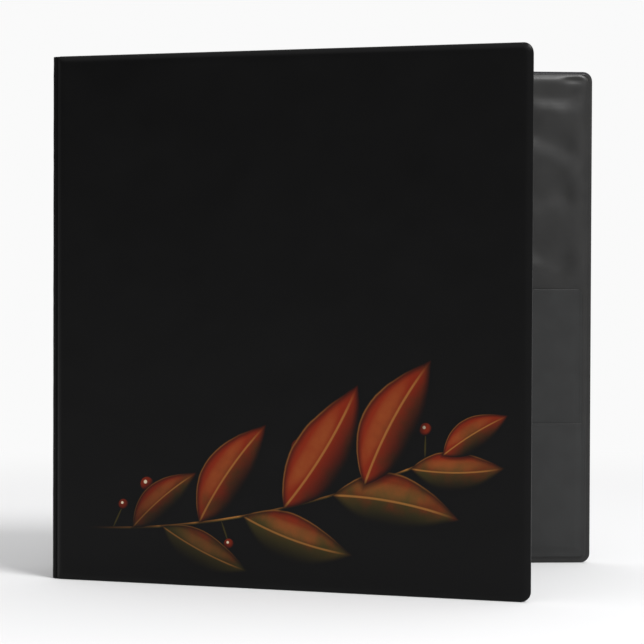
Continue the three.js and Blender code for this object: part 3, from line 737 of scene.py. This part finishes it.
def add_pocket(panel, side, level, finish, body):
    """A pocket's sheet: welded at its foot and sides with ribbed hems, and bowed open at its mouth."""
    vinyl = bpy.context.scene.binder.vinyl
    name = f"{side}_{level}_pocket"
    (start, foot, bottom), (end, crest, top) = panel.reach_of(name)
    section = [(inset * MM, 0.0) for inset in POCKET_RINGS]
    radii = (POCKET_CORNER, POCKET_CORNER)
    along, up, _, _ = rounded_grid((start, end, bottom, top), radii, section, POCKET_MESH)
    welded = np.minimum(np.minimum(along - start, end - along), up - bottom)
    tooth = np.abs(((welded / HEM_PITCH) % 1.0) - 0.5) * 2
    rise = steps(welded, HEM, HEM + 6 * MM)
    mouth = steps(up, bottom + 0.2 * (top - bottom), top)
    middle = np.sin(math.pi * np.clip((along - start) / (end - start), 0, 1)) ** 0.6
    bow = vinyl.bow * (0.15 + 0.85 * mouth) * middle * steps(welded, HEM, HEM + 25 * MM)
    wavy = POCKET_WAVE * waves(along, up, 34 * MM, 80 + 9 * len(side) + len(level))
    wavy = wavy * steps(welded, 4 * MM, 14 * MM)
    low = foot + vinyl.pocket_sheet
    outer = low + np.where(welded < HEM, HEM_TOOTH * tooth, 0) + rise * (crest - low) + bow + wavy
    if level == "lower":
        ridge_at = panel.reach_of(f"{side}_upper_pocket")[0][2]
        ridge = RIDGE_RISE * np.exp(-((up - ridge_at) / RIDGE_WIDTH) ** 2)
        outer = outer + ridge * steps(welded, 2 * MM, 5 * MM)
    lip = np.clip((top - up) / MOUTH_BEAD, 0, 1)
    outer = outer + vinyl.bead * np.sin(math.pi * lip) * steps(welded, HEM, HEM + 1 * MM)
    inner = outer - vinyl.pocket_sheet
    points = np.concatenate([panel.points(along, depth, up).reshape(-1, 3) for depth in (outer, inner)])
    behind = [tuple(reversed(face)) for face in grid_faces(*along.shape, along.size)]
    faces = grid_faces(*along.shape) + behind + edge_faces(*along.shape)
    made = piece(f"{name}_sheet", points, faces, finish)
    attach(made, body)
    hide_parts(name)


# Lines round and up a hinge's strip, its ribs, and how far it stops short of the panels' ends
WEB_LINES = 37
WEB_HEIGHTS = 80
WEB_RIBS = 6
RIB_HEIGHT = 0.07 * MM
WEB_RIPPLE = 0.10 * MM
WEB_INSET = 0.15 * MM


def add_web(name, hinge, towards_first, outside, towards_second, finish):
    """A hinge's welded strip: an arc from one panel's edge to the other's, shaped to the hinge's present
    angle.
    """
    vinyl = bpy.context.scene.binder.vinyl
    margin = float(BACK.start)
    half = math.acos(float(towards_first @ towards_second)) / 2
    radius = margin * math.tan(half)
    sweep = math.pi - 2 * half
    centre = hinge + towards_first * margin - outside * radius
    tangent = -towards_first
    grip = vinyl.web_grip / (radius * sweep)
    heights = np.linspace(BACK.bottom + WEB_INSET, BACK.top - WEB_INSET, WEB_HEIGHTS)
    stations = []
    for t in np.linspace(-grip, 1 + grip, WEB_LINES):
        bent = min(max(t, 0.0), 1.0)
        out = math.sin(sweep * bent) * tangent + math.cos(sweep * bent) * outside
        heading = math.cos(sweep * bent) * tangent - math.sin(sweep * bent) * outside
        spot = centre + radius * out + heading * (t - bent) * radius * sweep
        stations.append((spot, out, t, math.sin(math.pi * bent)))
    surfaces = []
    for side in (1, -1):
        rows = []
        for spot, out, t, middle in stations:
            rib = RIB_HEIGHT * math.cos(t * WEB_RIBS * 2 * math.pi)
            for z in heights:
                ripple = WEB_RIPPLE * noise.noise(Vector((t * 1.2, z / (6 * MM), 11))) * middle
                offset = side * (vinyl.web_sheet / 2 - RIB_HEIGHT) + rib + ripple
                rows.append(spot + out * offset + np.array([0, 0, z]))
        surfaces.append(np.array(rows))
    shape = len(stations), len(heights)
    faces = grid_faces(*shape) + grid_faces(*shape, len(surfaces[0])) + edge_faces(*shape)
    made = piece(f"{name}_strip", np.concatenate(surfaces), faces, finish)
    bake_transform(made)
    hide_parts(name)


# Rings and fasteners

WIRE_SIDES = 24
RING_FOOT_OFFSET = 9.5 * MM
# The wire's step to its full radius, and the chamfer where the halves meet
SHOULDER_STEP = 0.1 * MM
WIRE_CHAMFER = 0.12 * MM
# Stations round each bend
FOOT_STATIONS = 8
CURVE_STATIONS = 36
POST_STATIONS = 16


def bend(centre_x, centre_y, radius, first, last, count):
    """Stations round a bend: place and heading, from one angle on its circle to another."""
    way = math.copysign(math.pi / 2, last - first)
    return [(centre_x + radius * math.cos(a), centre_y + radius * math.sin(a), a + way)
            for a in np.linspace(first, last, count + 1)]


def wire(name, stations, middle, finish):
    """A bent wire over stations: place beside and above the liner, heading and radius."""
    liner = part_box("back_liner")[0][1]
    points = []
    for x, y, heading, radius in stations:
        for k in range(WIRE_SIDES):
            angle = 2 * math.pi * k / WIRE_SIDES
            across = radius * math.cos(angle)
            points.append((x - across * math.sin(heading), liner - (y + across * math.cos(heading)),
                           middle + radius * math.sin(angle)))
    faces = tube_faces(len(stations), WIRE_SIDES)
    return piece(name, points, faces, finish, 50)


def post_path(steel, x):
    """A post half's way from its foot: straight up and over one bend."""
    across, rise = x - steel.post_bend, steel.ring_height - steel.post_bend
    return bend(across, rise, steel.post_bend, 0, math.pi / 2, POST_STATIONS)


def curved_path(steel, x):
    """A curved half's way from its foot: a small bend that leans it out, and a large one back over."""
    lean = steel.foot_turn
    path = bend(x - steel.foot_bend, steel.foot_rise, steel.foot_bend, 0, lean, FOOT_STATIONS)
    leave_x, leave_y, _ = path[-1]
    centre_y = steel.ring_height - steel.curve_radius
    touch = centre_y - steel.curve_radius * math.sin(lean)
    centre_x = leave_x - (touch - leave_y) * math.tan(lean) + steel.curve_radius * math.cos(lean)
    return path + bend(centre_x, centre_y, steel.curve_radius, math.pi + lean, math.pi / 2, CURVE_STATIONS)


def add_ring(place, finish):
    """Both halves of one ring, on the same lines as the solids that they replace."""
    steel = bpy.context.scene.binder.steel
    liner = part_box("back_liner")[0][1]
    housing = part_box("ring_housing")
    centre = (housing[0][0] + housing[1][0]) / 2
    split = centre + RING_FOOT_OFFSET - steel.post_bend - steel.split_run
    # The tip of the curved half has play in the socket of the post half
    halves = (("curved", -1, "curved_ring_side", curved_path, 0.0, 0.0),
              ("post", 1, "post_ring_side", post_path, math.pi, steel.tip_play))
    for half, side, body, path, way, play in halves:
        node = f"{place}_ring_{half}_half"
        low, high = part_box(node)
        radius = (high[2] - low[2]) / 2
        middle = (low[2] + high[2]) / 2
        x = centre + side * RING_FOOT_OFFSET
        face = split + side * steel.split_gap / 2
        foot = [(liner - high[1], steel.spigot_radius), (steel.shoulder, steel.spigot_radius),
                (steel.shoulder + SHOULDER_STEP, radius - SHOULDER_STEP),
                (steel.shoulder + 2 * SHOULDER_STEP, radius)]
        end = [(face + side * WIRE_CHAMFER, radius), (face, radius - WIRE_CHAMFER),
               (face, steel.tip_radius + play), (face + steel.tip_length, steel.tip_taper + play)]
        stations = [(x, y, math.pi / 2, r) for y, r in foot] + [(*p, radius) for p in path(steel, x)]
        stations += [(run, steel.ring_height, way, r) for run, r in end]
        made = wire(f"{place}_ring_{half}_wire", stations, middle, finish)
        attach(made, body)
        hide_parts(node)


def add_turned(node, profile, axis, finish, segments=48):
    """A turned piece: a profile of radius and place along the axis, about the line through a point."""
    direction, point = axis
    side = Vector((0, 0, 1))
    other = direction.cross(side)
    points = [point + direction * run + (side * math.cos(a) + other * math.sin(a)) * radius
              for radius, run in profile for a in np.linspace(0, 2 * math.pi, segments, endpoint=False)]
    made = piece(f"{node}_turned", points, tube_faces(len(profile), segments), finish, 35)
    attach(made, "back_cover")
    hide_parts(node)


RIVET_SHANK = 2.2 * MM
RIVET_HEAD = 3.4 * MM
RIVET_GAP = 0.05 * MM
RIVET_FLANGE = 0.1 * MM
RIVET_RIM = 0.25 * MM
PIN_SHANK = 1.15 * MM
PIN_HEAD = 0.8 * MM
# Share of a pin's head that is domed, and the angle from a dome's axis at which its flat middle ends
PIN_CROWN = 0.6
DOME_START = 0.06


def dome(radius, height, edge, way, count=8):
    """A low dome's profile, from its top to its rim."""
    turns = np.linspace(DOME_START, math.pi / 2, count)
    return [(radius * math.sin(t), edge + way * height * math.cos(t)) for t in turns]


def add_rivet(node, finish):
    """A rivet through the back cover: a broad head outside and a smaller one on the housing."""
    low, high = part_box(node)
    housing_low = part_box("ring_housing")[0][1]
    radius = (high[0] - low[0]) / 2
    middle = Vector(((low[0] + high[0]) / 2, 0, (low[2] + high[2]) / 2))
    outer_edge = BACK.origin[1] + BACK.face + RIVET_GAP
    under = outer_edge - RIVET_FLANGE
    head = housing_low - RIVET_GAP
    rim = head - RIVET_RIM
    profile = dome(radius, high[1] - outer_edge, outer_edge, 1)
    profile += [(radius, under), (RIVET_SHANK, under), (RIVET_SHANK, head), (RIVET_HEAD, head)]
    profile += reversed(dome(RIVET_HEAD, rim - low[1], rim, -1))
    add_turned(node, profile, (Vector((0, 1, 0)), middle), finish)


def add_pin(node, finish):
    """A lever's pin, with a domed head at either end."""
    low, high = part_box(node)
    radius = (high[2] - low[2]) / 2
    middle = Vector((0, (low[1] + high[1]) / 2, (low[2] + high[2]) / 2))
    crown = PIN_HEAD * PIN_CROWN
    first, last = low[0] + PIN_HEAD, high[0] - PIN_HEAD
    profile = dome(radius, crown, low[0] + crown, -1)
    profile += [(radius, first), (PIN_SHANK, first), (PIN_SHANK, last), (radius, last)]
    profile += reversed(dome(radius, crown, high[0] - crown, 1))
    add_turned(node, profile, (Vector((1, 0, 0)), middle), finish)


# Operators

FREE_CORNER = 5.5 * MM
HINGE_CORNER = 1.2 * MM
# Edges of the pressed steel that are sharper than this are rounded
PRESSED_EDGE = math.radians(35)
BACK = Panel("back", "back_hinge")
SPINE = Panel("spine", "front_hinge")
FRONT = Panel("front", "front_hinge")
PANELS = {"back": (BACK, (HINGE_CORNER, FREE_CORNER), "back_cover"),
          "spine": (SPINE, (HINGE_CORNER, HINGE_CORNER), "spine"),
          "front": (FRONT, (HINGE_CORNER, FREE_CORNER), "front_cover")}


def black():
    """The plain outer vinyl, made once."""
    return bpy.data.materials.get("outer_vinyl") or outer_vinyl()


def steel_finish():
    """The plated steel, made once."""
    return bpy.data.materials.get("plated_steel") or plated_steel()


def give_finish(node, finish):
    node.data.materials.clear()
    node.data.materials.append(finish)


class BINDER_OT_outer_sheets(bpy.types.Operator):
    """Skin the covers and the spine with crowned outer vinyl, the front one printed"""

    bl_idname = "binder.outer_sheets"
    bl_label = "Outer sheets"

    def execute(self, context):
        for side, (panel, radii, body) in PANELS.items():
            finish = printed_vinyl(panel) if side == "front" else black()
            add_wrap(panel, side, radii, finish, body)
        return {"FINISHED"}


class BINDER_OT_liners(bpy.types.Operator):
    """Lay the puckered inside sheets over the boards"""

    bl_idname = "binder.liners"
    bl_label = "Liners"

    def execute(self, context):
        finish = liner_vinyl("liner_vinyl", context.scene.binder.vinyl.liner, LINER_ROUGHNESS)
        for side, (panel, radii, body) in PANELS.items():
            add_liner(panel, side, radii, finish, body)
        return {"FINISHED"}


class BINDER_OT_pockets(bpy.types.Operator):
    """Weld two stacked pockets inside each cover"""

    bl_idname = "binder.pockets"
    bl_label = "Pockets"

    def execute(self, context):
        finish = liner_vinyl("pocket_vinyl", context.scene.binder.vinyl.pocket, POCKET_ROUGHNESS)
        for side in ("back", "front"):
            panel, _, body = PANELS[side]
            for level in ("upper", "lower"):
                add_pocket(panel, side, level, finish, body)
        return {"FINISHED"}


class BINDER_OT_hinge_webs(bpy.types.Operator):
    """Join the spine to both covers with flexible welded strips"""

    bl_idname = "binder.hinge_webs"
    bl_label = "Hinge webs"

    def execute(self, context):
        web = outer_vinyl("web_vinyl", WEB_ROUGHNESS, WEB_GLOSS)
        hinge = joint_place("back_hinge") * (1, 1, 0)
        add_web("back_hinge_web", hinge, BACK.along, BACK.outwards, -SPINE.along, web)
        hinge = joint_place("front_hinge") * (1, 1, 0)
        add_web("front_hinge_web", hinge, SPINE.along, SPINE.outwards, FRONT.along, web)
        return {"FINISHED"}


class BINDER_OT_rings(bpy.types.Operator):
    """Bend the wires of the three rings"""

    bl_idname = "binder.rings"
    bl_label = "Rings"

    def execute(self, context):
        for place in ("upper", "middle", "lower"):
            add_ring(place, steel_finish())
        return {"FINISHED"}


class BINDER_OT_fasteners(bpy.types.Operator):
    """Turn the rivets and the levers' pins"""

    bl_idname = "binder.fasteners"
    bl_label = "Fasteners"

    def execute(self, context):
        for node in ("upper_rivet", "lower_rivet"):
            add_rivet(node, steel_finish())
        for node in ("top_lever_pin", "bottom_lever_pin"):
            add_pin(node, steel_finish())
        return {"FINISHED"}


class BINDER_OT_pressings(bpy.types.Operator):
    """Finish the solids that stay: boards, housing, blades and levers"""

    bl_idname = "binder.pressings"
    bl_label = "Boards and pressings"

    def execute(self, context):
        board = grey_board()
        for side in SIDES:
            give_finish(frame["nodes"][f"{side}_board"], board)
        for name in ("ring_housing", "hinge_side_blade", "page_side_blade", "top_lever", "bottom_lever"):
            node = frame["nodes"][name]
            give_finish(node, steel_finish())
            rounding = node.modifiers.new("rounded_edges", "BEVEL")
            rounding.width = context.scene.binder.steel.edge
            rounding.segments = 2
            rounding.limit_method = "ANGLE"
            rounding.angle_limit = PRESSED_EDGE
            rounding.harden_normals = False
            node.data.shade_smooth()
            node.data.set_sharp_from_angle(angle=PRESSED_EDGE)
        return {"FINISHED"}


class BINDER_OT_stage(bpy.types.Operator):
    """Set the floor, the light and the camera"""

    bl_idname = "binder.stage"
    bl_label = "Stage"

    def execute(self, context):
        stage = context.scene.binder.stage
        floor(stage)
        sky()
        lamp("key_lamp", place=(0.9, -1.35, 1.9), target=(0, 0, 0.12), size=0.9, power=stage.key_power)
        lamp("top_lamp", place=(0.1, 0.5, 2.2), target=(0, 0, 0.2), size=1.6, power=stage.top_power)
        camera = bpy.data.cameras.new("camera")
        camera.lens = stage.lens
        camera.sensor_width = 36
        camera.clip_start, camera.clip_end = 0.01, 100
        holder = bpy.data.objects.new("camera", camera)
        aim = (Matrix.Rotation(stage.camera_yaw, 4, "Z") @ Matrix.Rotation(stage.camera_pitch, 4, "X")
               @ Matrix.Rotation(stage.camera_roll, 4, "Y") @ Matrix.Rotation(math.pi / 2, 4, "X"))
        holder.matrix_world = Matrix.Translation(stage.camera_place) @ aim
        context.scene.collection.objects.link(holder)
        context.scene.camera = holder
        context.scene.view_settings.view_transform = "Standard"
        return {"FINISHED"}


def seen_plainly(finish):
    """1 for rays from the camera, from polished surfaces and through clear ones."""
    camera, glossy, clear = (
        finish.node("LightPath", output=f"Is {ray} Ray") for ray in ("Camera", "Glossy", "Transmission"))
    return camera.math("MINIMUM", camera + glossy + clear, 1.0)


# Level of the plain backdrop, and the distances between which the floor turns into it
BACKDROP = 0.955
FLOOR_FADE_START = 0.3
FLOOR_FADE_END = 0.95
FLOOR_REACH = 12.0
FLOOR_LEVEL = -0.1 * MM


def floor(stage):
    f = material("floor_paint")
    place = f.place()
    far = f.node("VectorMath", {"operation": "LENGTH"}, {0: place}, "Value")
    seen = seen_plainly(f)
    tone = f.mix(seen, rgba(stage.floor_bounce), rgba(stage.floor_colour))
    paint = f.node("BsdfDiffuse", {}, {"Color": tone})
    plain = f.node("Emission", {}, {"Color": (1, 1, 1, 1), "Strength": BACKDROP})
    fade = far.rise(FLOOR_FADE_START, FLOOR_FADE_END) * seen
    f.node_out(f.node("MixShader", {}, {0: fade, 1: paint, 2: plain}))
    mesh = bpy.data.meshes.new("floor")
    signs = ((-1, -1), (1, -1), (1, 1), (-1, 1))
    corners = [(x * FLOOR_REACH, y * FLOOR_REACH, FLOOR_LEVEL) for x, y in signs]
    mesh.from_pydata(corners, [], [(0, 1, 2, 3)])
    mesh.materials.append(f.owner)
    made = bpy.data.objects.new("floor", mesh)
    bpy.context.scene.collection.objects.link(made)


def sky():
    world = bpy.data.worlds.new("studio")
    bpy.context.scene.world = world
    f = Finish(world)
    camera = f.node("LightPath", output="Is Camera Ray")
    way = f.node("TexCoord", output="Generated")
    up = f.along(way, (0, 0, 1))
    behind = f.along(way, (0, 1, 0))
    sunny = f.along(way, (0.55, -0.83, 0))
    bright = 0.05 + 0.85 * up.rise(0.05, 0.8) + 0.12 * behind.rise(-0.25, 0.5) + 0.3 * sunny.rise(0.0, 0.9)
    strength = bright + camera * (BACKDROP - bright)
    glow = f.node("Background", {}, {"Color": (1, 1, 1, 1), "Strength": strength})
    out = f.tree.nodes.new("ShaderNodeOutputWorld")
    f.tree.links.new(glow.socket, out.inputs["Surface"])


def lamp(name, place, target, size, power):
    light = bpy.data.lights.new(name, "AREA")
    light.energy = power
    light.shape = "DISK"
    light.size = size
    made = bpy.data.objects.new(name, light)
    made.location = place
    made.rotation_euler = (Vector(target) - Vector(place)).to_track_quat("-Z", "Y").to_euler()
    bpy.context.scene.collection.objects.link(made)


STEPS = (BINDER_OT_outer_sheets, BINDER_OT_liners, BINDER_OT_pockets, BINDER_OT_hinge_webs, BINDER_OT_rings,
         BINDER_OT_fasteners, BINDER_OT_pressings, BINDER_OT_stage)


class BINDER_PT_panel(bpy.types.Panel):
    bl_idname = "BINDER_PT_panel"
    bl_label = "Ring binder"
    bl_space_type = "VIEW_3D"
    bl_region_type = "UI"
    bl_category = "Ring binder"

    def draw(self, context):
        settings = context.scene.binder
        for name in ("vinyl", "print", "steel", "stage"):
            group = getattr(settings, name)
            box = self.layout.box()
            for key in group.bl_rna.properties.keys():
                if key not in ("rna_type", "name"):
                    box.prop(group, key)
        for step in STEPS:
            self.layout.operator(step.bl_idname)


CLASSES = (BinderVinyl, BinderPrint, BinderSteel, BinderStage, BinderSettings, *STEPS, BINDER_PT_panel)


def register():
    for cls in CLASSES:
        bpy.utils.register_class(cls)
    bpy.types.Scene.binder = PointerProperty(type=BinderSettings)


def unregister():
    del bpy.types.Scene.binder
    for cls in reversed(CLASSES):
        bpy.utils.unregister_class(cls)


def main():
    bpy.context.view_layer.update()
    register()
    for step in STEPS:
        group, name = step.bl_idname.split(".")
        getattr(getattr(bpy.ops, group), name)()


if __name__ == "__main__":
    main()
